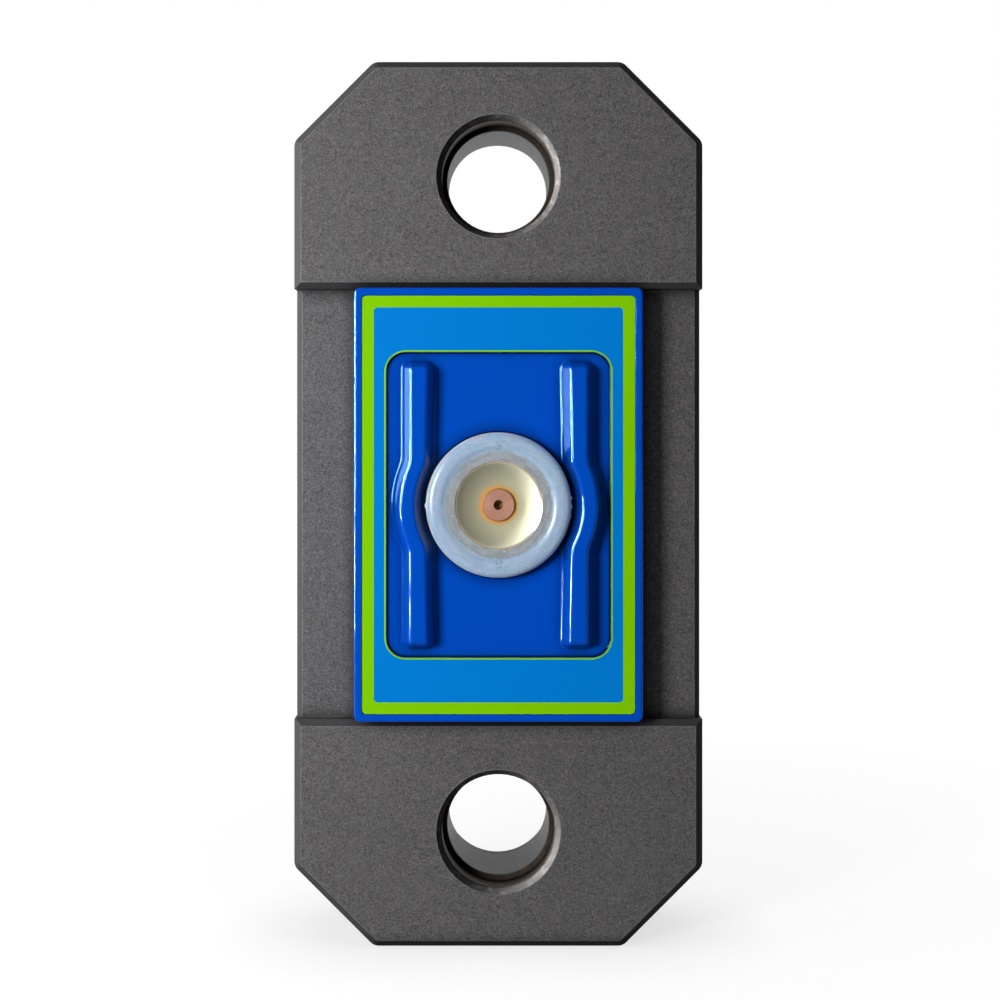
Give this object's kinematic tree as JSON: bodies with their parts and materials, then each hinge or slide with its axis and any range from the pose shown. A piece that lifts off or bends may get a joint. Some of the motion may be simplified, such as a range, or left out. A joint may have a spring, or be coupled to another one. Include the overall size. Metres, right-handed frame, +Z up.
{
  "type": "weighing load cell",
  "caption": "Tension link load cell: a flat metal bar with a stepped pin bore at each end and a wireless sensor module with a guarded push button in its waist.",
  "frame": {"origin": "centre of the bar's flat bottom face, in the middle of its thickness", "axes": "+Z up the load line from the lower bore to the upper bore, the pin bores run along Y, and the front with the push button faces -Y"},
  "size_m": [0.1024, 0.0428, 0.222],
  "materials": {
    "bar": "dark grey hard coat, finely grained",
    "housing": "glossy moulded blue",
    "overlay": "printed blue film with a green border",
    "gasket": "matte black",
    "button_ring": "translucent bluish, glossy",
    "button_core": "satin cream",
    "plunger": "bright copper tone",
    "steel": "plain stainless",
    "insert": "knurled brass",
    "pill": "conductive black rubber",
    "board": "green solder resist",
    "pads": "gold flash",
    "chip": "black moulded package",
    "module_can": "tinned can",
    "ceramic": "white ceramic",
    "film": "amber film",
    "tray": "black moulded tray",
    "contact": "nickel plated",
    "cell": "plain wrapped can",
    "pad": "soft foam"
  },
  "bodies": {
    "cell": {"load_body": "bar", "front_housing": "housing", "label_overlay": "overlay", "front_gasket": "gasket", "rear_gasket": "gasket", "rear_cover": "housing", "cover_screws": "steel", "screw_washers": "gasket", "threaded_inserts": "insert", "return_spring": "steel", "main_board": "board", "switch_pads": "pads", "board_screws": "steel", "radio_module": "module_can", "antenna": "ceramic", "amplifier_chip": "chip", "lead_sockets": "chip", "strain_gauge_left": "film", "strain_gauge_right": "film", "gauge_lead_left": "film", "gauge_lead_right": "film", "battery_tray": "tray", "battery_tabs": "contact", "battery_springs": "contact", "battery_pad": "pad", "battery_1": "cell", "battery_2": "cell", "battery_3": "cell"},
    "button": {"button_cap": "button_ring", "button_dish": "button_core", "button_plunger": "plunger", "plunger_seal": "gasket", "plunger_clip": "steel", "contact_pill": "pill"}
  },
  "joints": [
    {"name": "button_press", "type": "slide", "parent": "cell", "child": "button", "axis": [0, 1, 0], "range_m": [0, 0.0012], "stiffness_N_per_m": 1500, "springref_m": -0.001, "deforming": ["return_spring"]}
  ]
}
